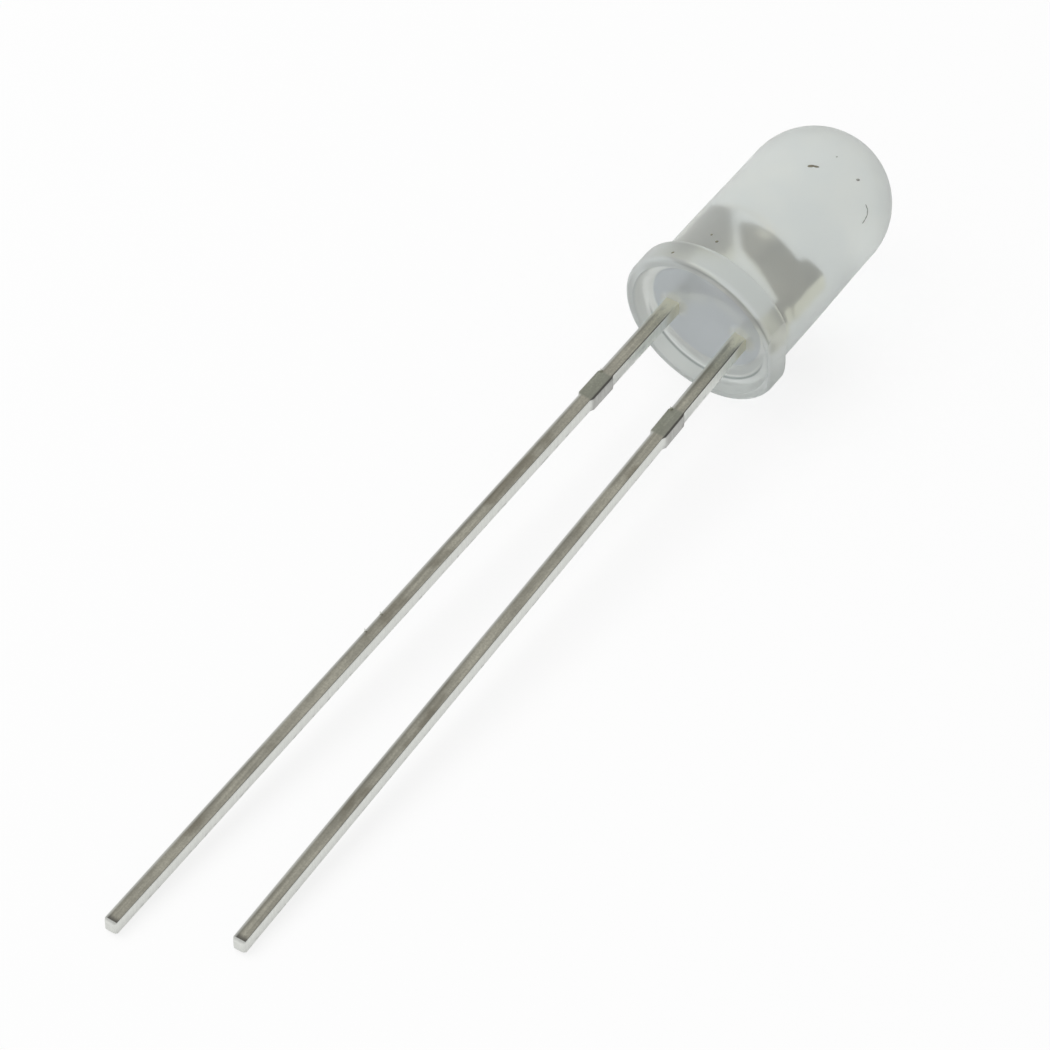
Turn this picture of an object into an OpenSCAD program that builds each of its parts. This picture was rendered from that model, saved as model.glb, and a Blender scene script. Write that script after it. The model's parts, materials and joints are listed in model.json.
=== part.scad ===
// Round 5 mm through-hole light emitting diode with a milky cast body.
// It is drawn about the lens axis and then laid on its side, as a loose one comes to rest:
// on the rim of its flange and on the ends of both leads.

/* [Lens] */
// Diameter of the body where it leaves the flange
body_d = 5; // [4.6:0.1:6]
// How much the body's radius narrows on the way up to the dome
draft = 0.05; // [0:0.01:0.15]
// Height from the underside of the flange to the top of the dome
lens_h = 8.8; // [7.8:0.1:11]
// Straight length of the body above the flange, before the draft starts
land_h = 1.2; // [0.6:0.1:2]
// How far the flange stands out from the body
flange_reach = 0.35; // [0.25:0.05:0.8]
// Height of the flange
flange_h = 1; // [0.8:0.05:1.5]
// Rounding of the flange's upper edge
flange_round = 0.2; // [0.1:0.02:0.24]
// Depth of the flat on the flange that marks the cathode side
flat_cut = 0.3; // [0.15:0.05:0.5]
// Width of the level rim round the dished underside
rim_w = 0.3; // [0.15:0.05:0.5]
// Depth of the dish that the resin's free surface leaves in the underside
dish_depth = 0.5; // [0.2:0.05:0.6]
// How far the resin creeps down each lead from the dish
creep_h = 0.1; // [0.06:0.02:0.2]
// Width by which that creep spreads at its foot
creep_w = 0.2; // [0.1:0.05:0.3]
// Thickness of the resin where the creep ends
creep_t = 0.03; // [0.02:0.01:0.06]

/* [Leads] */
// Thickness of the strip that both leads are stamped from
strip_t = 0.5; // [0.4:0.01:0.6]
// Width of a lead
lead_w = 0.45; // [0.38:0.01:0.55]
// Distance between the two leads where they leave the lens
pitch = 2.54; // [2.3:0.01:2.8]
// Length of the anode lead below the flange
anode_len = 28.8; // [18:0.1:36]
// How much shorter the cathode lead is
cathode_short_len = 1.6; // [0.8:0.1:3]
// Outward lean of the cathode lead in degrees
cathode_lean = 2.06; // [0:0.02:4]
// Drop from the flange to the collars that hold the lens off a board
collar_drop = 3.2; // [1:0.1:6]
// Length of a collar
collar_len = 1.25; // [0.8:0.05:2]
// Width of a collar
collar_w = 0.58; // [0.56:0.01:0.8]
// Length of the bevel at each end of a collar
collar_bevel = 0.12; // [0.05:0.01:0.3]

/* [Lead frame inside the lens] */
// Height of the top of the anode's post
post_top = 3.8; // [3.7:0.05:4.4]
// Width of the top of the anode's post
post_w = 0.45; // [0.36:0.01:0.5]
// How far the post's wing reaches inwards past the lead
wing_w = 0.5; // [0.3:0.02:0.6]
// Height of the wing's lower corner
wing_low = 2.15; // [1.8:0.05:2.4]
// Height of the straight inner edge of the wing
wing_edge_h = 0.35; // [0.2:0.05:0.6]
// Length of the shoulder under the wing
wing_shoulder = 0.45; // [0.3:0.05:0.6]
// Lowest point of the cathode's locking tab
tab_low = 0.6; // [0.45:0.05:0.8]
// Height of the locking tab
tab_h = 1.15; // [0.8:0.05:1.2]
// How far the locking tab stands out from the lead
tab_w = 0.35; // [0.2:0.05:0.45]
// Length of the bevels on the locking tab
tab_bevel = 0.15; // [0.05:0.05:0.25]
// Height of the neck between the locking tab and the anvil
neck_h = 0.3; // [0.2:0.05:0.4]
// Height of the anvil's outer corner
anvil_top = 3.8; // [3.7:0.05:4.3]
// Width of the anvil's outer corner, outside the reflector cup
anvil_shoulder_w = 0.7; // [0.5:0.05:0.75]
// How far the anvil stands out from the cathode lead
anvil_reach = 0.1; // [0:0.02:0.3]

/* [Reflector cup] */
// Height of the rim of the reflector cup
cup_rim_z = 3.52; // [3.4:0.02:3.66]
// Outer diameter of the reflector cup at its rim
cup_d = 1.5; // [1.4:0.02:1.6]
// Diameter of the reflector cup's mouth
cup_mouth_d = 1.2; // [1.1:0.02:1.3]
// Diameter of the reflector cup's floor
cup_floor_d = 0.7; // [0.6:0.02:0.8]
// Depth of the reflector cup
cup_depth = 0.42; // [0.36:0.02:0.5]
// Height of the straight band under the cup's rim
cup_band_h = 0.16; // [0.08:0.02:0.24]
// Height of the cone that carries the cup, below that band
cup_cone_h = 0.7; // [0.5:0.05:0.8]
// Diameter at the foot of that cone
cup_foot_d = 0.8; // [0.7:0.02:1]

/* [Chip and wire] */
// Width of the chip
chip_w = 0.3; // [0.2:0.02:0.4]
// Height of the chip
chip_h = 0.24; // [0.12:0.02:0.26]
// Thickness of the adhesive under the chip
glue_t = 0.02; // [0.01:0.01:0.04]
// How far the adhesive spreads past the chip
glue_rim_w = 0.03; // [0.01:0.01:0.05]
// Diameter of the bond wire
wire_d = 0.03; // [0.02:0.005:0.05]
// Diameter of the ball bond and of the stitch bond
bond_d = 0.1; // [0.08:0.01:0.14]
// Thickness of the ball bond and of the stitch bond
bond_t = 0.03; // [0.03:0.005:0.05]

/* [Hidden] */

$fn = 96;
body_r = body_d / 2;
dome_r = body_r - draft;
flange_r = body_r + flange_reach;
flat_x = flange_r - flat_cut;
dish_r = flange_r - rim_w;
// Radius of the ball whose cap is the dish
dish_ball_r = (pow(dish_r, 2) + pow(dish_depth, 2)) / (2 * dish_depth);

lead_x = pitch / 2;
lead_in = lead_x - lead_w / 2;
lead_out = lead_x + lead_w / 2;
cathode_len = anode_len - cathode_short_len;
// How far pieces that are joined run into each other, and how far a cut runs past what it cuts
overlap = 0.1;

cup_floor_z = cup_rim_z - cup_depth;
cup_cone_z = cup_rim_z - cup_band_h - cup_cone_h;
chip_z = cup_floor_z + glue_t;
chip_top_z = chip_z + chip_h;
post_x = lead_out - post_w / 2;

// Slope of the surface that the diode lies on, seen along the lens axis: it touches the flange's
// edge and the ends of both leads, and the shorter cathode makes the diode roll a little.
tip_span = lead_out + cathode_len * tan(cathode_lean) + lead_in;
roll_per_slope = cathode_short_len / tip_span;
rest_slope = (flange_r - strip_t / 2) / (anode_len - lead_in * roll_per_slope);
rest_tilt = atan(rest_slope);
rest_roll = asin(rest_slope * roll_per_slope);

// Lays a piece drawn upright, dome up, on its side with the dome towards +Y.
module lay() {
    rotate([rest_tilt - 90, 0, 0])
        rotate([0, 0, rest_roll])
            children();
}

// Turns an outline drawn with the lens axis as its second axis into a piece of the strip.
module stamped() {
    rotate([90, 0, 0])
        linear_extrude(height = strip_t, center = true)
            children();
}

// Height of the dished underside at a distance from the axis
function dish_z(r) = sqrt(pow(dish_ball_r, 2) - pow(r, 2)) - dish_ball_r + dish_depth;

// Outline of the lead below the lens, with its collar, hanging from the origin.
module shank_outline(len) {
    translate([-lead_w / 2, -len])
        square([lead_w, len + overlap]);
    polygon([
        [-lead_w / 2, -collar_drop],
        [-collar_w / 2, -collar_drop - collar_bevel],
        [-collar_w / 2, -collar_drop - collar_len + collar_bevel],
        [-lead_w / 2, -collar_drop - collar_len],
        [lead_w / 2, -collar_drop - collar_len],
        [collar_w / 2, -collar_drop - collar_len + collar_bevel],
        [collar_w / 2, -collar_drop - collar_bevel],
        [lead_w / 2, -collar_drop]
    ]);
}

// Outline of the anode's post. Its wing holds it in the resin and ends beside the anvil.
module post_outline() {
    wing_in = lead_in - wing_w;
    polygon([
        [lead_out, 0],
        [lead_out, post_top],
        [lead_out - post_w, post_top],
        [wing_in, wing_low + wing_edge_h],
        [wing_in, wing_low],
        [lead_in, wing_low - wing_shoulder],
        [lead_in, 0]
    ]);
}

// Outline of the cathode's foot with its locking tab.
module tab_outline() {
    tab_top = tab_low + tab_h;
    polygon([
        [lead_in, 0],
        [lead_out, 0],
        [lead_out, tab_low],
        [lead_out + tab_w, tab_low + tab_bevel],
        [lead_out + tab_w, tab_top - tab_bevel],
        [lead_out, tab_top],
        [lead_out, tab_top + neck_h],
        [lead_in, tab_top + neck_h]
    ]);
}

// Outline of the anvil: a web that runs from the neck out to the reflector cup.
module anvil_outline() {
    neck_top = tab_low + tab_h + neck_h;
    anvil_out = lead_out + anvil_reach;
    polygon([
        [lead_in, neck_top - overlap],
        [lead_out, neck_top - overlap],
        [lead_out, neck_top],
        [anvil_out, neck_top + anvil_reach],
        [anvil_out, anvil_top],
        [anvil_out - anvil_shoulder_w, anvil_top],
        [cup_d / 2, cup_rim_z],
        [-cup_d / 2, cup_rim_z],
        [-cup_d / 2, cup_rim_z - cup_band_h],
        [-cup_foot_d / 2, cup_cone_z]
    ]);
}

// Half section of the reflector cup's outside: a cone that ends in a straight band.
module cup_section() {
    polygon([
        [0, cup_cone_z],
        [cup_foot_d / 2, cup_cone_z],
        [cup_d / 2, cup_rim_z - cup_band_h],
        [cup_d / 2, cup_rim_z],
        [0, cup_rim_z]
    ]);
}

// Half section of the cup's hollow. It runs on past the rim, where it clears the anvil's shoulder.
module cup_hollow_section() {
    polygon([
        [0, cup_floor_z],
        [cup_floor_d / 2, cup_floor_z],
        [cup_mouth_d / 2, cup_rim_z],
        [cup_mouth_d / 2, anvil_top + overlap],
        [0, anvil_top + overlap]
    ]);
}

module anode_metal() {
    mirror([1, 0, 0])
        stamped() {
            post_outline();
            translate([lead_x, 0])
                shank_outline(anode_len);
        }
}

module cathode_metal() {
    difference() {
        union() {
            stamped() {
                tab_outline();
                anvil_outline();
                translate([lead_x, 0])
                    rotate(cathode_lean)
                        shank_outline(cathode_len / cos(cathode_lean));
            }
            rotate_extrude()
                cup_section();
        }
        rotate_extrude()
            cup_hollow_section();
    }
}

module chip_block() {
    translate([-chip_w / 2, -chip_w / 2, chip_z])
        cube([chip_w, chip_w, chip_h]);
}

module glue_pad() {
    pad_w = chip_w + 2 * glue_rim_w;
    translate([-pad_w / 2, -pad_w / 2, cup_floor_z])
        cube([pad_w, pad_w, glue_t]);
}

// The wire leaves its ball bond straight up and loops over to its stitch bond in one arc.
module wire_run() {
    start_z = chip_top_z + bond_t / 2;
    rise = post_top + bond_t / 2 - start_z;
    loop_r = (pow(post_x, 2) + pow(rise, 2)) / (2 * post_x);
    translate([-loop_r, 0, start_z])
        rotate([90, 0, 0])
            rotate_extrude(angle = atan2(rise, loop_r - post_x))
                translate([loop_r, 0])
                    circle(d = wire_d);
    translate([0, 0, chip_top_z])
        cylinder(h = bond_t, d = bond_d);
    translate([-post_x, 0, post_top])
        cylinder(h = bond_t, d = bond_d);
}

// Half section of the cast body: flange, straight land, drafted barrel, dome and dished underside.
module lens_section() {
    dome_z = lens_h - dome_r;
    difference() {
        union() {
            square([flange_r, flange_h - flange_round]);
            square([flange_r - flange_round, flange_h]);
            translate([flange_r - flange_round, flange_h - flange_round])
                circle(r = flange_round);
            polygon([
                [0, 0],
                [body_r, 0],
                [body_r, flange_h + land_h],
                [dome_r, dome_z],
                [0, dome_z]
            ]);
            translate([0, dome_z])
                intersection() {
                    circle(r = dome_r);
                    square(dome_r);
                }
        }
        translate([0, dish_depth - dish_ball_r])
            circle(r = dish_ball_r);
    }
}

// Resin drawn down one lead, a cone that starts inside the dish.
module creep() {
    tip_r = norm([lead_w, strip_t]) / 2 + creep_t;
    translate([lead_x, 0, dish_z(lead_x) - creep_h])
        cylinder(h = creep_h + 2 * overlap, r1 = tip_r, r2 = tip_r + creep_w);
}

module epoxy_lens() {
    color([0.82, 0.84, 0.84, 0.6])
        lay()
            difference() {
                union() {
                    difference() {
                        rotate_extrude()
                            lens_section();
                        translate([flat_x, -flange_r, -overlap])
                            cube([flat_cut + overlap, 2 * flange_r, flange_h + overlap]);
                    }
                    creep();
                    mirror([1, 0, 0])
                        creep();
                }
                anode_metal();
                cathode_metal();
                chip_block();
                glue_pad();
                wire_run();
            }
}

module anode_lead() {
    color([0.62, 0.62, 0.58])
        lay()
            anode_metal();
}

module cathode_lead() {
    color([0.62, 0.62, 0.58])
        lay()
            cathode_metal();
}

module led_chip() {
    color([0.35, 0.36, 0.42])
        lay()
            chip_block();
}

module chip_adhesive() {
    color([0.72, 0.72, 0.7])
        lay()
            glue_pad();
}

module bond_wire() {
    color([0.85, 0.68, 0.3])
        lay()
            wire_run();
}

epoxy_lens();
anode_lead();
cathode_lead();
led_chip();
chip_adhesive();
bond_wire();
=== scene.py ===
"""A milky round light emitting diode, lying on its side on a pale floor.

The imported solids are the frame. The cast lens and both leads are modelled here from the diode's own
sizes, the chip, its adhesive and the bond wire keep their solids, and every piece gets its finish.
"""

import json
import math

import bpy
from bpy.props import FloatProperty, FloatVectorProperty, IntProperty, PointerProperty
from mathutils import Matrix, Vector


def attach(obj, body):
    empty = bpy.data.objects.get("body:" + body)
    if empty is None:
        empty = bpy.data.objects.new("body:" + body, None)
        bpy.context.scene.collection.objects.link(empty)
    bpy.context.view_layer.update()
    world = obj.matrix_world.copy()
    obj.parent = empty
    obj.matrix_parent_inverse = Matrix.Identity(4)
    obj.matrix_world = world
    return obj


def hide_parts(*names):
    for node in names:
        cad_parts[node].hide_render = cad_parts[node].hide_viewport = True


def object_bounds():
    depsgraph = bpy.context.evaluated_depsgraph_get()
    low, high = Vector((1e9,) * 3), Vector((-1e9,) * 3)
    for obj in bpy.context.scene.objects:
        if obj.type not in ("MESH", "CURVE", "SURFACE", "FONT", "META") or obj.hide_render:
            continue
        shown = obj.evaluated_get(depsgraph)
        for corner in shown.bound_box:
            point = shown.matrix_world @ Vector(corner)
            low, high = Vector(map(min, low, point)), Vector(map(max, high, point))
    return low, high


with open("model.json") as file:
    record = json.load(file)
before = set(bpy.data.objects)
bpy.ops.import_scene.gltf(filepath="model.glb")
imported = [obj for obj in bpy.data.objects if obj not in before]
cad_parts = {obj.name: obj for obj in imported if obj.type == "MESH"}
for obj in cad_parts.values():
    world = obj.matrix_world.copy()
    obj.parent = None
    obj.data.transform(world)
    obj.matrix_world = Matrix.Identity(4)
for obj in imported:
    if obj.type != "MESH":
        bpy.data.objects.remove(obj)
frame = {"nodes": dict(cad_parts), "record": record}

bl_info = {
    "name": "Milky Diode",
    "version": (1, 0, 0),
    "blender": (4, 5, 0),
    "location": "3D View > Sidebar > Diode",
    "description": "Models the lens, leads and stage of a milky round diode round its packed solids",
    "category": "Object",
}

MM = 0.001
MOUNTS = {mount["name"]: mount for mount in frame["record"]["mounts"]}
CAD_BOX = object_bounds()
# Corners closer together than this become one, and an edge shorter than the sliver is taken out
WELD = 1e-7
SLIVER = 1e-6
# Faces that meet at less than these angles are shaded as one, on the diode itself and on its dirt
SMOOTH_ANGLE = math.radians(35)
DIRT_SMOOTH_ANGLE = math.radians(60)
# Edges of a lead that turn by more than this are rounded
SHARP_ANGLE = math.radians(40)
# A face of a lead counts as rolled where its normal points this much to the front or to the back
ROLLED = 0.95
# How many steps each stretch of the lens's section is drawn in
STEPS = {"bottom": 54, "wall": 8, "edge": 4, "shoulder": 6, "fillet": 5, "barrel": 13, "dome": 40}
# The reflector cup is the part of the cathode above this height and nearer to the axis than this reach
CUP_FOOT = 2.6 * MM
CUP_REACH = 0.78 * MM
# Burrs of the shearing, as drops in metres along each lead: one on the collar's upper corner, more below
ANODE_BURRS = (3.22 * MM, 14.86 * MM, 15.66 * MM)
CATHODE_BURRS = (3.26 * MM,)
# A burr points up along the lead, turned this far to the left
BURR_TILT = math.radians(-50)
# Dirt on the lens: width in mm, then the places it runs through, as height in mm and turn in degrees
SPECKS = {
    "grime": (
        (0.10, (5.71, -87.0), (5.87, -83.0)),
        (0.08, (5.82, -84.2), (5.92, -79.8)),
        (0.08, (1.50, -101.0), (1.58, -99.2)),
        (0.06, (1.71, -108.6), (1.77, -107.2)),
        (0.07, (0.29, -117.0), (0.37, -115.4)),
    ),
    "lint": (
        (0.08, (6.47, -53.4), (6.58, -51.2)),
        (0.035, (6.20, -34.6), (6.17, -30.8), (6.06, -27.8), (5.90, -26.6), (5.75, -26.0)),
        (0.04, (6.60, -75.8), (6.66, -74.8)),
    ),
}
# The points that the camera and the lamp look at, and the lamp's direction from its own point
CAMERA_AIM = Vector((-1.9077, -6.6467, -4.2760)) * MM
LAMP_AIM = Vector((0, -6 * MM, 0))
LAMP_SIDE = Vector((-0.45, -0.15, 0.88)).normalized()
# The mirrored sky grows dimmer between these heights of its direction, where 1 is straight overhead
SKY_FADE = (0.2, 0.75)


def lens_frame():
    """Matrix that lays a piece drawn upright, dome up and flat towards +X, where the frame holds it."""
    up = Vector(MOUNTS["barrel_land"]["axis"]).normalized()
    side = Vector(MOUNTS["cathode_flat"]["axis"])
    across = up.cross(side).normalized()
    return Matrix((across.cross(up), across, up)).transposed().to_4x4()


LAY = lens_frame()


def length(name, description, default):
    """A length in metres for a property group."""
    return FloatProperty(name=name, description=description, default=default, unit="LENGTH")


def share(name, description, default):
    """A number from 0 to 1 for a property group."""
    return FloatProperty(name=name, description=description, default=default, min=0, max=1)


def angle(name, description, degrees):
    """An angle for a property group, given in degrees."""
    return FloatProperty(name=name, description=description, default=math.radians(degrees),
                         subtype="ANGLE")


def colour(name, description, default):
    """A colour without alpha for a property group."""
    return FloatVectorProperty(name=name, description=description, default=default, size=3,
                               min=0, max=1, subtype="COLOR")


class LensSizes(bpy.types.PropertyGroup):
    """Sizes and colours of the cast lens."""

    body_radius: length("Body radius", "Radius of the barrel's straight foot",
                        MOUNTS["barrel_land"]["dims"]["r_mm"] * MM)
    flange_radius: length("Flange radius", "Radius of the flange",
                          MOUNTS["flange_rim"]["dims"]["r_mm"] * MM)
    height: length("Height", "From the underside to the top of the dome", 8.8 * MM)
    draft: length("Draft", "How much the barrel's radius narrows up to the dome", 0.05 * MM)
    land: length("Land", "Straight foot of the barrel above the flange", 1.2 * MM)
    flange_height: length("Flange height", "Height of the flange", 1.0 * MM)
    shoulder_round: length("Shoulder rounding", "Rounding of the flange's upper edge", 0.2 * MM)
    edge_round: length("Edge rounding", "Rounding of the underside's outer edge", 0.16 * MM)
    fillet: length("Fillet", "Fillet between the flange and the barrel", 0.1 * MM)
    flat_reach: length("Flat reach", "Distance of the cathode flat from the axis", 2.55 * MM)
    flat_round: length("Flat rounding", "Rounding of the edges of the cathode flat", 0.025 * MM)
    rim: length("Rim", "Width of the level rim round the dished underside", 0.3 * MM)
    dish: length("Dish", "Depth of the dish in the underside", 0.5 * MM)
    wall_width: length("Wall width", "Width of the dish's sloping wall", 0.4 * MM)
    wall_depth: length("Wall depth", "Depth of the dish at the foot of that wall", 0.36 * MM)
    creep: length("Creep", "How far the resin creeps down each lead", 0.1 * MM)
    creep_spread: length("Creep spread", "How far that creep reaches round each lead", 0.28 * MM)
    segments: IntProperty(name="Segments", description="Faces round the lens", default=192, min=48)
    milk: colour("Milk", "Colour of the clouded resin", (0.86, 0.885, 0.845))
    shade: colour("Shade", "Colour of its cooler, thinner patches", (0.81, 0.845, 0.825))
    # Painted shade: the body's colour turns greyer towards the floor
    flank_shade: colour("Flank", "Greyer colour of the body towards the floor", (0.54, 0.575, 0.56))
    wall: colour("Wall", "Greyer colour of the resin at the flange", (0.66, 0.69, 0.665))
    rim_tint: colour("Rim tint", "Pale colour of the rim round the underside", (0.76, 0.79, 0.78))
    # Painted highlight: the pale dish wall and a pale line on the underside
    painted_highlight: colour("Light tint", "Nearly white colour of the dish's wall", (0.97, 0.99, 0.96))
    # Painted light: a warm tint round each lead, where the lead shows through the resin
    painted_lead_tint: colour("Yellowed", "Colour of the resin round each lead", (0.78, 0.76, 0.62))
    base: colour("Base", "Bluish colour at the bottom of the dish", (0.61, 0.65, 0.68))
    # Painted shade: dark lines on the underside
    painted_dark_line: colour("Line tint", "Dark line at the foot of the dish's wall", (0.26, 0.29, 0.29))
    shadow_tint: colour("Shadow tint", "Colour of the light that gets through to the shadow",
                        (0.82, 0.84, 0.84))
    flange_share: share("Flange share", "Light let through at the flange", 0.6)
    dish_share: share("Dish share", "Light let through at the dish's bottom", 0.35)
    body_share: share("Body share", "Light let through above the flange", 0.7)
    flange_rough: share("Flange roughness", "Roughness at the flange", 0.28)
    dome_rough: share("Dome roughness", "Roughness of the dome", 0.3)
    refraction: FloatProperty(name="Refraction", description="Refractive index of the resin",
                              default=1.52, min=1)


class LeadSizes(bpy.types.PropertyGroup):
    """Sizes and colours of the two leads."""

    pitch: length("Pitch", "Distance between the leads at the lens", 2.54 * MM)
    width: length("Width", "Width of a lead", 0.45 * MM)
    thickness: length("Thickness", "Thickness of the strip", 0.5 * MM)
    collar_drop: length("Collar drop", "From the underside down to the collars", 3.2 * MM)
    collar_length: length("Collar length", "Length of a collar", 1.25 * MM)
    edge_round: length("Edge rounding", "Rounding of the sheared edges", 0.022 * MM)
    tip_round: length("Tip rounding", "Rounding of a lead's end", 0.13 * MM)
    burr_radius: length("Burr radius", "Radius of a burr at its foot", 0.055 * MM)
    burr_length: length("Burr length", "Length of a burr", 0.15 * MM)
    lean: angle("Lean", "Outward lean of the cathode lead", 2.06)
    face: colour("Face", "Rolled face of the tinned strip", (0.79, 0.765, 0.64))
    side: colour("Side", "Sheared side of the strip", (0.97, 0.985, 0.94))
    # Painted light: the creamy look of a lead inside the lens
    cast_side: colour("Cast side", "Creamy sheared side inside the lens", (0.93, 0.90, 0.74))
    # Painted shade along a lead's right edge, and the colour of its dark tip
    edge: colour("Edge", "Dull line along a sheared edge and round the tip", (0.17, 0.165, 0.15))
    stain: colour("Stain", "Brownish stains on the rolled face", (0.24, 0.21, 0.15))
    collar: colour("Collar", "Pressed face of a collar", (0.57, 0.58, 0.49))
    collar_side: colour("Collar side", "Side of a collar", (0.68, 0.68, 0.65))


class SpeckSizes(bpy.types.PropertyGroup):
    """Sizes and colours of the dirt on the lens."""

    thickness: length("Thickness", "Thickness of a bit of dirt, half of it in the lens", 0.03 * MM)
    hair_overlap: FloatProperty(name="Hair overlap", default=1.35, min=1,
                                description="Length of a piece of the hair, as a share of its gap")
    grime: colour("Grime", "Colour of the dark bits", (0.24, 0.22, 0.16))
    lint: colour("Lint", "Colour of the paler bits and the hair", (0.42, 0.42, 0.38))


class ChipColours(bpy.types.PropertyGroup):
    """Colours of the small pieces inside the lens, each with its darker grain."""

    crystal: colour("Crystal", "Colour of the chip", (0.24, 0.25, 0.32))
    crystal_grain: colour("Crystal grain", "Darker grain of the chip", (0.10, 0.11, 0.16))
    paste: colour("Paste", "Colour of the silver adhesive", (0.75, 0.75, 0.72))
    paste_grain: colour("Paste grain", "Darker grain of the adhesive", (0.5, 0.5, 0.48))
    gold: colour("Gold", "Colour of the bond wire", (0.92, 0.72, 0.34))
    gold_grain: colour("Gold grain", "Darker grain of the bond wire", (0.80, 0.58, 0.22))


class StageSizes(bpy.types.PropertyGroup):
    """The floor, the light and the camera."""

    floor_size: length("Floor size", "Width of the floor", 2.4)
    floor_colour: colour("Floor colour", "Colour of the floor", (0.96, 0.96, 0.96))
    floor_glow: share("Floor glow", "How much of the floor is plain white where it is seen", 0.8)
    mirrored_floor: share("Mirrored floor", "Brightness of the mirrored floor", 0.66)
    sky: FloatProperty(name="Sky", description="Strength of the even light", default=0.72, min=0)
    sky_colour: colour("Sky colour", "Colour of the sky", (0.8, 0.8, 0.8))
    sky_overhead: share("Sky overhead", "Strength of the mirrored sky overhead", 0.62)
    lamp_power: FloatProperty(name="Lamp power", description="Power of the soft lamp", default=1.3,
                              min=0, unit="POWER")
    lamp_size: length("Lamp size", "Width of the soft lamp", 0.45)
    lamp_distance: length("Lamp distance", "Distance of the lamp from the diode", 0.5)
    turn: angle("Turn", "Azimuth of the view", 34.94)
    rise: angle("Rise", "Elevation of the view", 45.53)
    roll: angle("Roll", "Roll of the camera", 0.6)
    distance: length("Distance", "Distance of the camera from the point it looks at", 0.259)
    near_limit: length("Near limit", "Nearest distance that the camera sees", 0.01)
    focal_length: FloatProperty(name="Focal length", description="Lens of the camera",
                                default=285.8, unit="CAMERA")
    sensor_width: FloatProperty(name="Sensor width", description="Width of the camera's sensor",
                                default=36, unit="CAMERA")


def deselect():
    """Leaves edit mode with nothing selected."""
    if bpy.context.object and bpy.context.object.mode != "OBJECT":
        bpy.ops.object.mode_set(mode="OBJECT")
    bpy.ops.object.select_all(action="DESELECT")


def take(piece):
    """Makes a piece the only selected one."""
    deselect()
    piece.select_set(True)
    bpy.context.view_layer.objects.active = piece


def join(piece, others):
    """Joins other pieces to a piece."""
    take(piece)
    for other in others:
        other.select_set(True)
    bpy.ops.object.join()


def pick_edges(piece, test):
    """Selects the edges of a piece that pass a test, and enters edit mode."""
    take(piece)
    bpy.ops.object.mode_set(mode="EDIT")
    bpy.ops.mesh.select_mode(type="EDGE")
    bpy.ops.mesh.select_all(action="DESELECT")
    bpy.ops.object.mode_set(mode="OBJECT")
    for edge in piece.data.edges:
        edge.select = test(edge)
    bpy.ops.object.mode_set(mode="EDIT")


def apply_place(piece):
    """Moves a piece's place into its mesh."""
    take(piece)
    bpy.ops.object.transform_apply(location=True, rotation=True, scale=True)


def lay_down(piece):
    """Lays an upright piece where the frame holds the diode."""
    piece.matrix_world = LAY
    apply_place(piece)


def finish_piece(piece, materials):
    """Gives a piece its materials and its body."""
    for material in materials:
        piece.data.materials.append(material)
    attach(piece, "root")


class Nodes:
    """A node tree under construction: short calls that add nodes and link them."""

    def __init__(self, tree):
        self.tree = tree

    def add(self, kind, **settings):
        node = self.tree.nodes.new(kind)
        for key, value in settings.items():
            setattr(node, key, value)
        return node

    def link(self, source, target):
        self.tree.links.new(source, target)

    def feed(self, socket, value):
        """Links a socket, or writes a plain value on it."""
        if isinstance(value, bpy.types.NodeSocket):
            self.link(value, socket)
        else:
            socket.default_value = value

    def rays(self):
        """What kind of ray meets the surface: outputs that are 1 or 0."""
        return self.add("ShaderNodeLightPath").outputs

    def noise(self, vector, scale, detail, roughness=0.5):
        node = self.add("ShaderNodeTexNoise")
        self.link(vector, node.inputs["Vector"])
        node.inputs["Scale"].default_value = scale
        node.inputs["Detail"].default_value = detail
        node.inputs["Roughness"].default_value = roughness
        return node.outputs["Fac"]

    def fit(self, value, low, high, to_low=0.0, to_high=1.0, smooth=True):
        """Maps low to high onto to_low to to_high, with no overshoot."""
        node = self.add("ShaderNodeMapRange", clamp=True)
        node.interpolation_type = "SMOOTHSTEP" if smooth else "LINEAR"
        self.feed(node.inputs["Value"], value)
        for name, number in (("From Min", low), ("From Max", high), ("To Min", to_low), ("To Max", to_high)):
            self.feed(node.inputs[name], number)
        return node.outputs["Result"]

    def work_out(self, operation, first, second=0.0):
        """The result of one step of arithmetic."""
        node = self.add("ShaderNodeMath", operation=operation)
        self.feed(node.inputs[0], first)
        self.feed(node.inputs[1], second)
        return node.outputs["Value"]

    def plus(self, first, second):
        return self.work_out("ADD", first, second)

    def minus(self, first, second):
        return self.work_out("SUBTRACT", first, second)

    def times(self, first, second):
        return self.work_out("MULTIPLY", first, second)

    def most(self, first, second):
        return self.work_out("MAXIMUM", first, second)

    def distance(self, across, along):
        """Distance of a place from the origin, by two of its coordinates."""
        squares = self.plus(self.work_out("POWER", across, 2.0), self.work_out("POWER", along, 2.0))
        return self.work_out("SQRT", squares)

    def line(self, value, middle, half):
        """1 where a value is at the middle, down to 0 half a width away on each side."""
        return self.times(self.fit(value, middle - half, middle),
                          self.fit(value, middle, middle + half, 1, 0))

    def blend(self, share, first, second):
        """Mixes two colours by a share."""
        node = self.add("ShaderNodeMix", data_type="RGBA")
        self.feed(node.inputs["Factor"], share)
        for socket, value in ((node.inputs[6], first), (node.inputs[7], second)):
            self.feed(socket, value if isinstance(value, bpy.types.NodeSocket) else (*value, 1))
        return node.outputs[2]

    def overlay(self, share, first, second):
        """Lays the second shader over the first one, by a share."""
        node = self.add("ShaderNodeMixShader")
        self.link(share, node.inputs["Fac"])
        self.link(first, node.inputs[1])
        self.link(second, node.inputs[2])
        return node.outputs["Shader"]

    def axes(self, vector):
        node = self.add("ShaderNodeSeparateXYZ")
        self.link(vector, node.inputs["Vector"])
        return node.outputs


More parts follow.
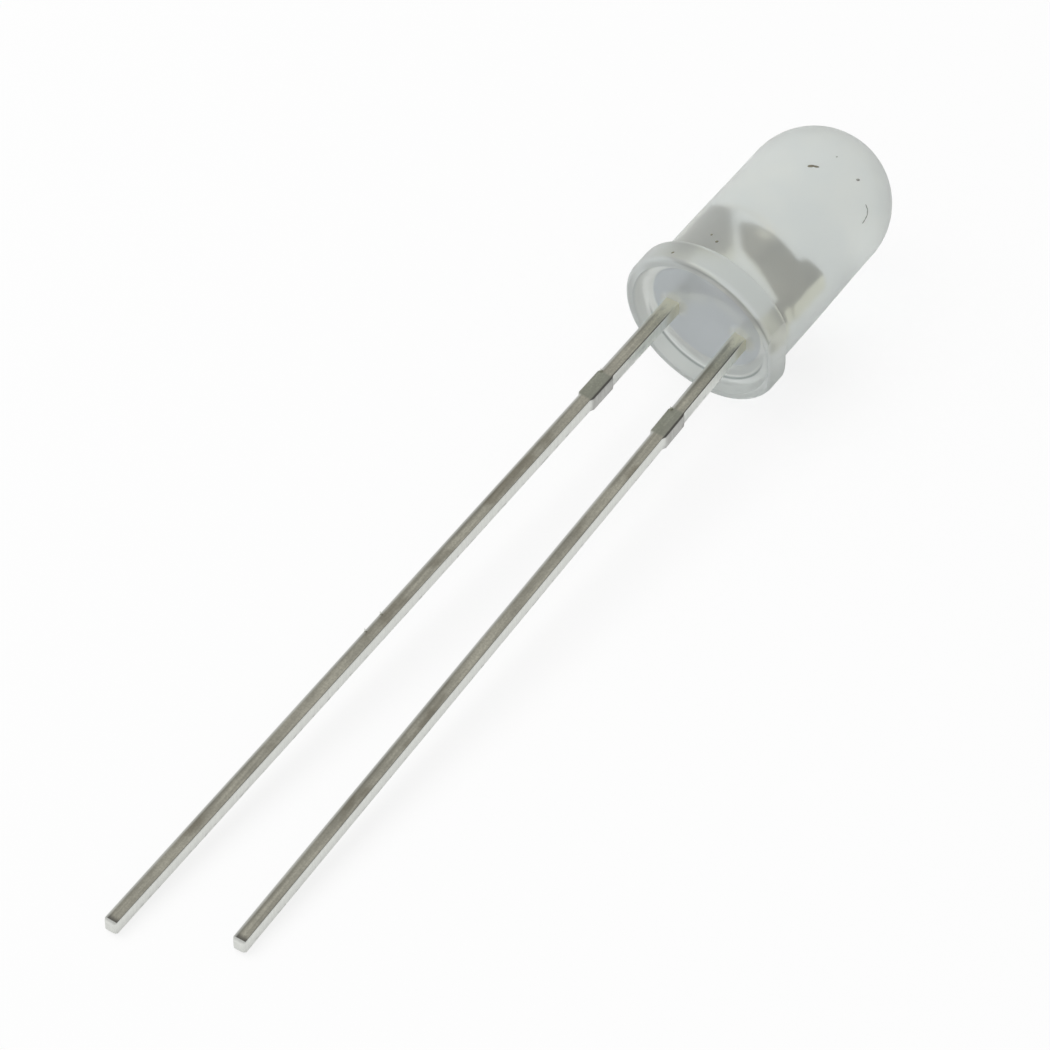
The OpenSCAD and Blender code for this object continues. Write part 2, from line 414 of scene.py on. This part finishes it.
class Finish(Nodes):
    """A material under construction, with its shader."""

    def __init__(self, name):
        self.material = bpy.data.materials.new(name)
        self.material.use_nodes = True
        super().__init__(self.material.node_tree)
        self.shader = self.tree.nodes["Principled BSDF"]
        self.output = self.tree.nodes["Material Output"]

    def laid(self):
        """Object coordinates in the frame that the diode lies in."""
        return self.add("ShaderNodeTexCoord").outputs["Object"]

    def coordinates(self, turn=None, scale=(1, 1, 1), shift=(0, 0, 0)):
        """Object coordinates in the diode's upright frame, then scaled."""
        upright = self.add("ShaderNodeMapping")
        upright.inputs["Rotation"].default_value = (turn or LAY.inverted()).to_euler()
        self.link(self.laid(), upright.inputs["Vector"])
        stretched = self.add("ShaderNodeMapping")
        stretched.inputs["Location"].default_value = shift
        stretched.inputs["Scale"].default_value = scale
        self.link(upright.outputs["Vector"], stretched.inputs["Vector"])
        return stretched.outputs["Vector"]

    def bump(self, height, distance, strength):
        node = self.add("ShaderNodeBump")
        node.inputs["Strength"].default_value = strength
        node.inputs["Distance"].default_value = distance
        self.link(height, node.inputs["Height"])
        self.link(node.outputs["Normal"], self.shader.inputs["Normal"])

    def set(self, **values):
        """Sets sockets of the shader by their names, with underscores for spaces."""
        for key, value in values.items():
            self.feed(self.shader.inputs[key.replace("_", " ")], value)

    def cover(self, share, layer):
        """Lays another shader over the material's own, by a share."""
        shown = self.overlay(share, self.shader.outputs["BSDF"], layer)
        self.link(shown, self.output.inputs["Surface"])


def clouded(made, sizes, upright):
    """Colour of the barrel and the dome: cloudy, and painted greyer towards the floor as shade."""
    cloud = made.fit(made.noise(upright, 420, 2.0), 0.35, 0.65)
    # Painted shade: the body is greyer towards the floor
    floor_shade = made.fit(made.axes(made.laid())["Z"], -1.8 * MM, 1.6 * MM, 1, 0)
    return made.blend(floor_shade, made.blend(cloud, sizes.shade, sizes.milk), sizes.flank_shade)


def beside_lead(made, leads, place):
    """A share that fades away round each lead."""
    to_lead = made.minus(made.work_out("ABSOLUTE", place["X"]), leads.pitch / 2)
    return made.fit(made.distance(to_lead, place["Y"]), 0.3 * MM, 0.6 * MM, 0.35, 0)


def milky_resin(sizes, leads):
    """Resin clouded by its filler: pale at the rim, bluish in the dish, painted greyer towards the floor as
    shade, with painted highlights and lines on the underside and a painted warm tint round each lead.
    """
    made = Finish("milky_resin")
    upright = made.coordinates()
    place = made.axes(upright)
    height = place["Z"]
    reach = made.distance(place["X"], place["Y"])
    edge = sizes.flange_radius - sizes.rim
    foot = edge - sizes.wall_width
    # Shares of the dish, of the underside with its rim, and of the dish's bottom, a little off the axis
    low_down = made.fit(height, sizes.dish, 1.4 * sizes.dish, 1, 0)
    in_dish = made.times(low_down, made.fit(reach, edge - 0.1 * MM, edge, 1, 0))
    under = made.most(in_dish, made.fit(height, 0.06 * MM, 0.22 * MM, 1, 0))
    off_axis = made.distance(place["X"], made.plus(place["Y"], 0.35 * MM))
    bottom = made.times(low_down, made.fit(off_axis, foot - 0.18 * MM, foot - 0.08 * MM, 1, 0))
    # The underside differs from side to side, +Y being towards the floor and the anode at -X: the dish's
    # wall has a painted highlight that fades away from -X and -Y, and painted lines lie on the floor side
    # and the upper side
    floor_side = made.times(in_dish, made.fit(place["Y"], 0.2 * MM, 1.2 * MM))
    upper_side = made.times(under, made.times(made.fit(place["Y"], -1.2 * MM, -0.2 * MM, 1, 0),
                                              made.fit(place["X"], -2.2 * MM, 0.5 * MM, 0, 0.5)))
    painted_pale_wall = made.times(in_dish, made.times(made.fit(place["X"], -1.6 * MM, 1.2 * MM, 1, 0.25),
                                               made.fit(place["Y"], 0.3 * MM, 1.8 * MM, 1, 0.3)))
    # Painted light: a warm tint round each lead
    painted_lead_share = made.times(low_down, beside_lead(made, leads, place))
    above = made.fit(height, 0.8 * sizes.flange_height, 1.4 * sizes.flange_height)
    tint = made.blend(above, sizes.wall, clouded(made, sizes, upright))
    tint = made.blend(under, tint, sizes.rim_tint)
    tint = made.blend(painted_pale_wall, tint, sizes.painted_highlight)
    tint = made.blend(bottom, tint, sizes.base)
    tint = made.blend(painted_lead_share, tint, sizes.painted_lead_tint)
    # Painted lines: shade and a highlight at the foot of the wall and, on the upper side, shade inside the
    # flange's edge
    half_line = 0.05 * MM
    for side, middle, line in ((floor_side, foot + 0.04 * MM, sizes.painted_dark_line),
                               (floor_side, foot - 0.04 * MM, sizes.painted_highlight),
                               (upper_side, sizes.flange_radius - 0.09 * MM, sizes.painted_dark_line)):
        tint = made.blend(made.times(side, made.line(reach, middle, half_line)), tint, line)
    let_through = made.fit(above, 0, 1, sizes.flange_share, sizes.body_share)
    made.set(
        Base_Color=tint,
        Roughness=made.fit(height, sizes.flange_height, 4.5 * MM, sizes.flange_rough, sizes.dome_rough),
        IOR=sizes.refraction,
        Transmission_Weight=made.fit(bottom, 0, 1, let_through, sizes.dish_share),
    )
    made.bump(made.noise(upright, 900, 2.0), 0.004 * MM, 0.3)
    # Shadow rays pass through the resin, so the frame inside is lit and the shadow stays faint
    clear = made.add("ShaderNodeBsdfTransparent")
    clear.inputs["Color"].default_value = (*sizes.shadow_tint, 1)
    made.cover(made.rays()["Is Shadow Ray"], clear.outputs["BSDF"])
    return made.material


def on_collar(made, sizes, height):
    """1 on a lead's collar, by the height along the lead, and 0 off it."""
    top = -sizes.collar_drop
    foot = top - sizes.collar_length
    fade = 0.12 * MM
    return made.times(made.fit(height, foot, foot + fade), made.fit(height, top - fade, top, 1, 0))


def shaded(tint, part):
    """A colour made darker: the part of it that is left."""
    return tuple(part * value for value in tint)


def tinned_face(sizes, name, turn, centre, shift, tip):
    """Rolled face of the strip: dull streaky tin, stained, dark at its tip and matte on the collar, with
    painted light and shade across it, along its edges and in the lens.
    """
    made = Finish(name)
    place = made.axes(made.coordinates(turn))
    across = made.minus(place["X"], centre)
    # Four grains, from long streaks to even grit: a small scale along the lead draws a grain out
    streak = made.fit(made.noise(made.coordinates(turn, (1, 1, 0.035), shift), 9000, 4.0, 0.6), 0.32, 0.68)
    mottle = made.fit(made.noise(made.coordinates(turn, (1, 1, 0.3), shift), 2400, 4.0, 0.65), 0.32, 0.68)
    stain = made.fit(made.noise(made.coordinates(turn, (1, 1, 0.4), shift), 1100, 3.0), 0.55, 0.67)
    grit = made.fit(made.noise(made.coordinates(turn, (1, 1, 1), shift), 15000, 3.0), 0.3, 0.7)
    # Bare tin: dull and light by its streaks and by painted light across it, darker to the left, then grit,
    # stains, a dark tip, painted shade along the right edge and a painted highlight along the left edge
    painted_light_across = made.fit(across, -0.16 * MM, 0.02 * MM)
    tone = made.plus(made.times(painted_light_across, 0.4), made.plus(made.times(streak, 0.35), made.times(mottle, 0.25)))
    bare = made.blend(tone, shaded(sizes.face, 0.38), sizes.face)
    bare = made.blend(made.times(grit, 0.3), bare, shaded(sizes.face, 0.35))
    bare = made.blend(made.times(stain, 0.45), bare, sizes.stain)
    bare = made.blend(made.fit(place["Z"], tip + 0.16 * MM, tip + 0.36 * MM, 0.85, 0), bare, sizes.edge)
    bare = made.blend(made.fit(across, 0.175 * MM, 0.2 * MM, 0, 0.9), bare, sizes.edge)
    bare = made.blend(made.fit(across, -0.2 * MM, -0.11 * MM, 0.75, 0), bare, sizes.side)
    # In the resin it is painted creamy light from an uneven border on, and painted shade, a darker copy of
    # the face, above the flange
    cast = made.blend(made.fit(place["Z"], 0.9 * MM, 1.6 * MM), sizes.cast_side, shaded(sizes.face, 0.37))
    uneven = made.plus(place["Z"], made.times(mottle, 0.5 * MM))
    plain = made.blend(made.fit(uneven, -0.4 * MM, 0.6 * MM), bare, cast)
    # The collar is matte from the press, with painted shade along its right edge
    pressed = made.blend(made.times(grit, streak), shaded(sizes.collar, 0.78), sizes.collar)
    pressed = made.blend(made.fit(across, 0.17 * MM, 0.22 * MM), pressed, sizes.edge)
    collar = on_collar(made, sizes, place["Z"])
    made.set(
        Base_Color=made.blend(collar, plain, pressed),
        Metallic=1.0,
        Roughness=made.plus(made.fit(mottle, 0, 1, 0.28, 0.42), made.times(collar, 0.28)),
    )
    made.bump(made.plus(streak, mottle), 0.003 * MM, 0.5)
    return made.material


def sheared_side(sizes, name, turn, shift):
    """Sheared side of the strip: pale, with fine lines across the cut and nicks, darker on the collar, and
    painted creamy light in the lens.
    """
    made = Finish(name)
    place = made.axes(made.coordinates(turn))
    lines = made.fit(made.noise(made.coordinates(turn, (1, 0.12, 1), shift), 14000, 2.0), 0.3, 0.7)
    rough_cut = made.fit(made.noise(made.coordinates(turn, (1, 1, 0.6), shift), 6000, 3.0), 0.54, 0.62)
    nicks = made.times(rough_cut, made.fit(place["Y"], 0.08 * MM, 0.22 * MM))
    plain = made.blend(lines, shaded(sizes.side, 0.93), sizes.side)
    plain = made.blend(made.times(nicks, 0.6), plain, shaded(sizes.side, 0.45))
    # It turns to painted creamy light in two steps, up to the rim of the lens and then inside it
    plain = made.blend(made.fit(place["Z"], -0.5 * MM, 0), plain, shaded(sizes.cast_side, 0.85))
    plain = made.blend(made.fit(place["Z"], 0, 0.8 * MM), plain, sizes.cast_side)
    pressed = made.blend(lines, shaded(sizes.collar_side, 0.8), sizes.collar_side)
    made.set(
        Base_Color=made.blend(on_collar(made, sizes, place["Z"]), plain, pressed),
        Metallic=1.0,
        Roughness=made.fit(lines, 0, 1, 0.3, 0.42),
    )
    made.bump(lines, 0.003 * MM, 0.2)
    return made.material


def grained(name, tint, darker, scale, metallic, roughness):
    """A plain finish with a fine grain, for the small pieces inside the lens and the dirt on it."""
    made = Finish(name)
    grain = made.noise(made.coordinates(), scale, 3.0)
    made.set(
        Base_Color=made.blend(made.fit(grain, 0.3, 0.7), darker, tint),
        Metallic=metallic,
        Roughness=made.fit(grain, 0.3, 0.7, roughness, roughness + 0.15),
    )
    return made.material


def arc(centre_r, centre_z, radius, start, end, steps):
    """Points of an arc in the lens's half section, with its angles in degrees."""
    turns = [math.radians(start + (end - start) * step / steps) for step in range(steps + 1)]
    return [(centre_r + radius * math.cos(turn), centre_z + radius * math.sin(turn)) for turn in turns]


def underside(sizes, hold):
    """Points of the dish, from its middle over its wall to the level rim."""
    dish_radius = sizes.flange_radius - sizes.rim
    foot = dish_radius - sizes.wall_width
    rise = sizes.dish - sizes.wall_depth
    ball = (foot ** 2 + rise ** 2) / (2 * rise)
    sweep = math.degrees(math.asin(foot / ball))
    points = arc(0, sizes.dish - ball, ball, 90, 90 - sweep, STEPS["bottom"])
    for step in range(1, STEPS["wall"] + 1):
        part = step / STEPS["wall"]
        points.append((foot + sizes.wall_width * part, sizes.wall_depth * (1 - part)))
    points += [(dish_radius + hold, 0), (sizes.flange_radius - sizes.edge_round - hold, 0)]
    return points


def lens_section(sizes):
    """Half section of the cast body as radius and height, from the dish's middle to the dome's top."""
    dome = sizes.body_radius - sizes.draft
    dome_z = sizes.height - dome
    # Extra points this far beside the roundings keep their shading off the faces next to them
    hold = 0.01 * MM
    points = underside(sizes, hold)
    points += arc(sizes.flange_radius - sizes.edge_round, sizes.edge_round, sizes.edge_round,
                  -90, 0, STEPS["edge"])
    points += [(sizes.flange_radius, sizes.edge_round + hold),
               (sizes.flange_radius, sizes.flange_height - sizes.shoulder_round - hold)]
    points += arc(sizes.flange_radius - sizes.shoulder_round, sizes.flange_height - sizes.shoulder_round,
                  sizes.shoulder_round, 0, 90, STEPS["shoulder"])
    points += [(sizes.flange_radius - sizes.shoulder_round - hold, sizes.flange_height),
               (sizes.body_radius + sizes.fillet + hold, sizes.flange_height)]
    points += arc(sizes.body_radius + sizes.fillet, sizes.flange_height + sizes.fillet,
                  sizes.fillet, 270, 180, STEPS["fillet"])
    points.append((sizes.body_radius, sizes.flange_height + sizes.fillet + hold))
    straight = sizes.flange_height + sizes.land
    for step in range(STEPS["barrel"]):
        part = step / STEPS["barrel"]
        ease = part * part * (3 - 2 * part)
        points.append((sizes.body_radius - sizes.draft * ease, straight + part * (dome_z - straight)))
    points += arc(0, dome_z, dome, 0, 90, STEPS["dome"])
    return points


def turned(name, section, segments):
    """Draws a half section by extruding one corner after another, and spins it round the axis."""
    deselect()
    bpy.ops.mesh.primitive_plane_add(size=MM)
    piece = bpy.context.object
    piece.name = name
    bpy.ops.object.mode_set(mode="EDIT")
    bpy.ops.mesh.merge(type="CENTER")
    bpy.ops.mesh.select_mode(type="VERT")
    bpy.ops.transform.translate(value=(section[0][0], 0, section[0][1]))
    for (r, z), (next_r, next_z) in zip(section, section[1:]):
        bpy.ops.mesh.extrude_region_move(
            TRANSFORM_OT_translate={"value": (next_r - r, 0, next_z - z)})
    bpy.ops.mesh.select_all(action="SELECT")
    bpy.ops.mesh.spin(steps=segments, angle=math.tau, center=(0, 0, 0), axis=(0, 0, 1))
    bpy.ops.mesh.select_all(action="SELECT")
    bpy.ops.mesh.remove_doubles(threshold=WELD)
    bpy.ops.mesh.normals_make_consistent(inside=False)
    bpy.ops.object.mode_set(mode="OBJECT")
    return piece


def draw_creep(piece, sizes, leads):
    """Draws the resin of the dished underside down round each lead."""
    for side in (-1, 1):
        centre = side * leads.pitch / 2
        take(piece)
        bpy.ops.object.mode_set(mode="EDIT")
        bpy.ops.mesh.select_mode(type="VERT")
        bpy.ops.mesh.select_all(action="DESELECT")
        bpy.ops.object.mode_set(mode="OBJECT")
        for vertex in piece.data.vertices:
            x, y, z = vertex.co
            vertex.select = (abs(x - centre) < leads.width / 2 and abs(y) < leads.thickness / 2
                             and z < sizes.dish + WELD)
        bpy.ops.object.mode_set(mode="EDIT")
        bpy.ops.transform.translate(
            value=(0, 0, -sizes.creep), use_proportional_edit=True, use_proportional_connected=True,
            proportional_edit_falloff="SHARP", proportional_size=sizes.creep_spread)
        bpy.ops.object.mode_set(mode="OBJECT")


def cut_flat(piece, sizes):
    """Cuts the cathode flat into the flange and rounds its edges."""
    take(piece)
    bpy.ops.object.mode_set(mode="EDIT")
    bpy.ops.mesh.select_all(action="SELECT")
    bpy.ops.mesh.bisect(plane_co=(sizes.flat_reach, 0, 0), plane_no=(1, 0, 0),
                        use_fill=True, clear_outer=True, threshold=WELD)
    bpy.ops.mesh.region_to_loop()
    bpy.ops.mesh.bevel(offset=sizes.flat_round, offset_type="OFFSET", segments=3, affect="EDGES",
                       clamp_overlap=True)
    bpy.ops.mesh.select_all(action="SELECT")
    bpy.ops.mesh.dissolve_degenerate(threshold=SLIVER)
    bpy.ops.object.mode_set(mode="OBJECT")


def cast_lens(sizes, leads):
    """The whole cast body, with the lead frame standing in it."""
    piece = turned("cast_lens", lens_section(sizes), sizes.segments)
    draw_creep(piece, sizes, leads)
    cut_flat(piece, sizes)
    lay_down(piece)
    bpy.ops.object.shade_smooth_by_angle(angle=SMOOTH_ANGLE)
    finish_piece(piece, [milky_resin(sizes, leads)])
    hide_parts("epoxy_lens")


def upright_copy(node, name):
    """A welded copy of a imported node, standing upright about the lens axis, with flat faces made whole."""
    piece = bpy.data.objects.new(name, frame["nodes"][node].data.copy())
    bpy.context.scene.collection.objects.link(piece)
    piece.data.materials.clear()
    piece.matrix_world = LAY.inverted()
    apply_place(piece)
    bpy.ops.mesh.customdata_custom_splitnormals_clear()
    bpy.ops.object.mode_set(mode="EDIT")
    bpy.ops.mesh.select_all(action="SELECT")
    bpy.ops.mesh.remove_doubles(threshold=WELD)
    bpy.ops.mesh.dissolve_limited(angle_limit=math.radians(0.5))
    bpy.ops.object.mode_set(mode="OBJECT")
    return piece


def round_tip(piece, sizes):
    """Rounds the end of a lead."""
    end = set(min(piece.data.polygons, key=lambda polygon: polygon.center.z).edge_keys)
    pick_edges(piece, lambda edge: tuple(sorted(edge.vertices)) in end)
    bpy.ops.mesh.bevel(offset=sizes.tip_round, offset_type="OFFSET", segments=3, affect="EDGES",
                       clamp_overlap=True)
    bpy.ops.object.mode_set(mode="OBJECT")


def normals_beside(piece):
    """For each edge's pair of corners, the normals of the faces beside it."""
    beside = {}
    for polygon in piece.data.polygons:
        for key in polygon.edge_keys:
            beside.setdefault(key, []).append(polygon.normal.copy())
    return beside


def round_edges(piece, sizes):
    """Rounds the sharp edges of a lead outside the lens."""
    beside = normals_beside(piece)
    corners = piece.data.vertices

    def sharp_outside(edge):
        normals = beside.get(tuple(sorted(edge.vertices)), [])
        low = all(corners[index].co.z < WELD for index in edge.vertices)
        return low and len(normals) == 2 and normals[0].angle(normals[1]) > SHARP_ANGLE

    pick_edges(piece, sharp_outside)
    bpy.ops.mesh.bevel(offset=sizes.edge_round, offset_type="OFFSET", segments=2, affect="EDGES",
                       clamp_overlap=True)
    bpy.ops.object.mode_set(mode="OBJECT")


def add_burrs(piece, drops, centre, lean, sizes):
    """Joins the burrs of the shearing to a lead: small spikes on its left edge, at their drops."""
    burrs = []
    for drop in drops:
        deselect()
        bpy.ops.mesh.primitive_cone_add(vertices=6, radius1=sizes.burr_radius, depth=sizes.burr_length)
        burr = bpy.context.object
        edge = Vector((centre - sizes.width / 2, -sizes.thickness / 2, 0))
        place = edge + Vector((math.sin(lean), 0, -math.cos(lean))) * drop
        burr.matrix_world = Matrix.Translation(place) @ Matrix.Rotation(BURR_TILT, 4, "Y")
        apply_place(burr)
        burr.data.materials.append(piece.data.materials[0])
        burrs.append(burr)
    join(piece, burrs)


def stamp_lead(node, name, sizes, turn, centre, shift, drops, lean):
    """Dresses one lead: rounded edges and tip, burrs, and a finish each for rolled and sheared faces.

    The turn stands the lead upright, and the centre is where it then stands along X.
    """
    piece = upright_copy(node, name)
    tip = min((turn @ LAY @ corner.co).z for corner in piece.data.vertices)
    round_tip(piece, sizes)
    round_edges(piece, sizes)
    piece.data.materials.append(tinned_face(sizes, name + "_face", turn, centre, shift, tip))
    piece.data.materials.append(sheared_side(sizes, name + "_side", turn, shift))
    for polygon in piece.data.polygons:
        place = polygon.center
        in_cup = place.z > CUP_FOOT and math.hypot(place.x, place.y) < CUP_REACH
        polygon.material_index = 0 if in_cup or abs(polygon.normal.y) > ROLLED else 1
    add_burrs(piece, drops, centre, lean, sizes)
    lay_down(piece)
    bpy.ops.object.shade_smooth_by_angle(angle=SMOOTH_ANGLE)
    finish_piece(piece, [])
    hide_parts(node)


def on_lens(sizes, height, turn):
    """The point of the lens's outside at a height and a turn about the axis, and its outward normal."""
    dome = sizes.body_radius - sizes.draft
    dome_z = sizes.height - dome
    foot = sizes.flange_height + sizes.land
    if height > dome_z:
        radius = math.sqrt(dome ** 2 - (height - dome_z) ** 2)
    elif height > foot:
        radius = sizes.body_radius - sizes.draft * (height - foot) / (dome_z - foot)
    elif height > sizes.flange_height:
        radius = sizes.body_radius
    else:
        radius = sizes.flange_radius
    outward = Vector((math.cos(turn), math.sin(turn), 0))
    point = outward * radius + Vector((0, 0, height))
    return point, (point - Vector((0, 0, dome_z))).normalized() if height > dome_z else outward


def bit(start, end, width, thickness, normal, overlap):
    """One flattened bit of dirt that lies between two points, half sunk in the surface under it."""
    deselect()
    bpy.ops.mesh.primitive_uv_sphere_add(segments=14, ring_count=8, radius=0.5)
    piece = bpy.context.object
    along = (end - start).normalized()
    across = normal.cross(along).normalized()
    turn = Matrix((along, across, along.cross(across))).transposed().to_4x4()
    scale = Matrix.Diagonal(((end - start).length * overlap, width, thickness, 1))
    piece.matrix_world = Matrix.Translation((start + end) / 2) @ turn @ scale
    apply_place(piece)
    return piece


def scatter_specks(sizes, lens):
    """The dirt on the lens, a piece for each kind, at the places where the photograph has it."""
    for kind, specks in SPECKS.items():
        bits = []
        for width, *ends in specks:
            places = [on_lens(lens, height * MM, math.radians(turn)) for height, turn in ends]
            overlap = sizes.hair_overlap if len(places) > 2 else 1
            for (start, normal), (end, _) in zip(places, places[1:]):
                bits.append(bit(start, end, width * MM, sizes.thickness, normal, overlap))
        piece = bits[0]
        join(piece, bits[1:])
        piece.name = "lens_" + kind
        lay_down(piece)
        bpy.ops.object.shade_smooth_by_angle(angle=DIRT_SMOOTH_ANGLE)
        tint = getattr(sizes, kind)
        finish = grained(kind, tint, shaded(tint, 0.6), scale=9000, metallic=0.0, roughness=0.6)
        finish_piece(piece, [finish])


def dress(node, material):
    """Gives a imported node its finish."""
    piece = frame["nodes"][node]
    piece.data.materials.clear()
    piece.data.materials.append(material)


class DIODE_OT_lens(bpy.types.Operator):
    """Cast the milky lens round the lead frame"""

    bl_idname = "diode.lens"
    bl_label = "Cast Lens"

    def execute(self, context):
        cast_lens(context.scene.diode_lens, context.scene.diode_leads)
        return {"FINISHED"}


class DIODE_OT_leads(bpy.types.Operator):
    """Dress the anode lead and the cathode lead"""

    bl_idname = "diode.leads"
    bl_label = "Stamp Leads"

    def execute(self, context):
        sizes = context.scene.diode_leads
        straight = LAY.inverted()
        leaning = Matrix.Rotation(sizes.lean, 4, "Y") @ straight
        centre = sizes.pitch / 2
        stamp_lead("anode_lead", "anode_stamping", sizes, turn=straight, centre=-centre,
                   shift=(0, 0, 0), drops=ANODE_BURRS, lean=0)
        # The shift gives the cathode another stretch of the same grain
        stamp_lead("cathode_lead", "cathode_stamping", sizes, turn=leaning, centre=centre,
                   shift=(0.003, 0, 0.002), drops=CATHODE_BURRS, lean=sizes.lean)
        return {"FINISHED"}


class DIODE_OT_specks(bpy.types.Operator):
    """Put the specks of dirt and the hair on the lens"""

    bl_idname = "diode.specks"
    bl_label = "Scatter Specks"

    def execute(self, context):
        scatter_specks(context.scene.diode_specks, context.scene.diode_lens)
        return {"FINISHED"}


class DIODE_OT_chip(bpy.types.Operator):
    """Finish the chip, its adhesive and the bond wire"""

    bl_idname = "diode.chip"
    bl_label = "Finish Chip and Wire"

    def execute(self, context):
        tints = context.scene.diode_chip
        dress("led_chip", grained("sawn_crystal", tints.crystal, tints.crystal_grain,
                                  scale=9000, metallic=0.2, roughness=0.25))
        dress("chip_adhesive", grained("silver_paste", tints.paste, tints.paste_grain,
                                       scale=24000, metallic=0.7, roughness=0.4))
        dress("bond_wire", grained("drawn_gold", tints.gold, tints.gold_grain,
                                   scale=20000, metallic=1.0, roughness=0.2))
        return {"FINISHED"}


class DIODE_OT_stage(bpy.types.Operator):
    """Set up the pale floor, the soft light and the camera"""

    bl_idname = "diode.stage"
    bl_label = "Set Stage"

    def execute(self, context):
        sizes = context.scene.diode_stage
        lay_floor(sizes)
        light_sky(sizes)
        hang_lamp(sizes)
        aim_camera(sizes)
        context.scene.view_settings.view_transform = "Standard"
        return {"FINISHED"}


def lay_floor(sizes):
    """A pale floor under the diode: nearly white as it is seen, dimmer in a mirror, with a faint shadow."""
    deselect()
    low = CAD_BOX[0].z
    bpy.ops.mesh.primitive_plane_add(size=sizes.floor_size, location=(0, 0, low))
    floor = bpy.context.object
    floor.name = "floor"
    apply_place(floor)
    made = Finish("pale_floor")
    made.set(Base_Color=(*sizes.floor_colour, 1), Roughness=0.9, Specular_IOR_Level=0.1)
    rays = made.rays()
    glow = made.add("ShaderNodeEmission")
    glow.inputs["Color"].default_value = (1, 1, 1, 1)
    mirrored = made.minus(rays["Is Glossy Ray"], rays["Is Transmission Ray"])
    made.link(made.fit(mirrored, 0, 1, 1.0, sizes.mirrored_floor), glow.inputs["Strength"])
    # It glows only for rays from the camera, off a glossy surface or out of glass, and lights nothing
    seen = made.most(made.most(rays["Is Camera Ray"], rays["Is Glossy Ray"]), rays["Is Transmission Ray"])
    made.cover(made.times(seen, sizes.floor_glow), glow.outputs["Emission"])
    floor.data.materials.append(made.material)


def sky_layer(made, sizes, strength):
    """A plain sky of the given strength."""
    layer = made.add("ShaderNodeBackground")
    layer.inputs["Color"].default_value = (*sizes.sky_colour, 1)
    made.feed(layer.inputs["Strength"], strength)
    return layer.outputs["Background"]


def light_sky(sizes):
    """An even light, from a sky that is plain where it is seen and dimmer overhead where it is mirrored."""
    world = bpy.data.worlds.new("soft_sky")
    bpy.context.scene.world = world
    world.use_nodes = True
    world.node_tree.nodes.clear()
    made = Nodes(world.node_tree)
    rays = made.rays()
    height = made.axes(made.add("ShaderNodeTexCoord").outputs["Generated"])["Z"]
    strength = made.fit(height, *SKY_FADE, 1.0, sizes.sky_overhead, smooth=False)
    mirrored = made.most(rays["Is Glossy Ray"], rays["Is Transmission Ray"])
    shown = made.overlay(mirrored, sky_layer(made, sizes, sizes.sky), sky_layer(made, sizes, strength))
    shown = made.overlay(rays["Is Camera Ray"], shown, sky_layer(made, sizes, 1.0))
    made.link(shown, made.add("ShaderNodeOutputWorld").inputs["Surface"])


def hang_lamp(sizes):
    """One large soft lamp, above and to the left of the view."""
    deselect()
    bpy.ops.object.light_add(type="AREA", location=LAMP_AIM + LAMP_SIDE * sizes.lamp_distance)
    lamp = bpy.context.object
    lamp.name = "soft_lamp"
    lamp.rotation_euler = (-LAMP_SIDE).to_track_quat("-Z", "Y").to_euler()
    lamp.data.shape = "DISK"
    lamp.data.size = sizes.lamp_size
    lamp.data.energy = sizes.lamp_power
    lamp.visible_glossy = False


def aim_camera(sizes):
    """The camera at the photograph's viewing angle."""
    deselect()
    flat = math.cos(sizes.rise)
    back = Vector((math.sin(sizes.turn) * flat, -math.cos(sizes.turn) * flat, math.sin(sizes.rise)))
    bpy.ops.object.camera_add(location=CAMERA_AIM + back * sizes.distance)
    camera = bpy.context.object
    turn = (-back).to_track_quat("-Z", "Y").to_matrix().to_4x4()
    camera.rotation_euler = (turn @ Matrix.Rotation(sizes.roll, 4, "Z")).to_euler()
    camera.data.sensor_width = sizes.sensor_width
    camera.data.lens = sizes.focal_length
    camera.data.clip_start = sizes.near_limit
    bpy.context.scene.camera = camera


class DIODE_PT_panel(bpy.types.Panel):
    """Buttons for each step of the diode"""

    bl_idname = "DIODE_PT_panel"
    bl_label = "Milky Diode"
    bl_space_type = "VIEW_3D"
    bl_region_type = "UI"
    bl_category = "Diode"

    def draw(self, context):
        for operator in OPERATORS:
            self.layout.operator(operator.bl_idname)
        for group in GROUPS:
            sizes = getattr(context.scene, group)
            for name in sizes.__annotations__:
                self.layout.prop(sizes, name)


OPERATORS = (DIODE_OT_lens, DIODE_OT_leads, DIODE_OT_specks, DIODE_OT_chip, DIODE_OT_stage)
GROUPS = {"diode_lens": LensSizes, "diode_leads": LeadSizes, "diode_specks": SpeckSizes,
          "diode_chip": ChipColours, "diode_stage": StageSizes}
CLASSES = (*GROUPS.values(), *OPERATORS, DIODE_PT_panel)


def register():
    for cls in CLASSES:
        bpy.utils.register_class(cls)
    for name, group in GROUPS.items():
        setattr(bpy.types.Scene, name, PointerProperty(type=group))


def unregister():
    for name in GROUPS:
        delattr(bpy.types.Scene, name)
    for cls in reversed(CLASSES):
        bpy.utils.unregister_class(cls)


def main():
    register()
    bpy.ops.diode.lens()
    bpy.ops.diode.leads()
    bpy.ops.diode.specks()
    bpy.ops.diode.chip()
    bpy.ops.diode.stage()
    deselect()


if __name__ == "__main__":
    main()
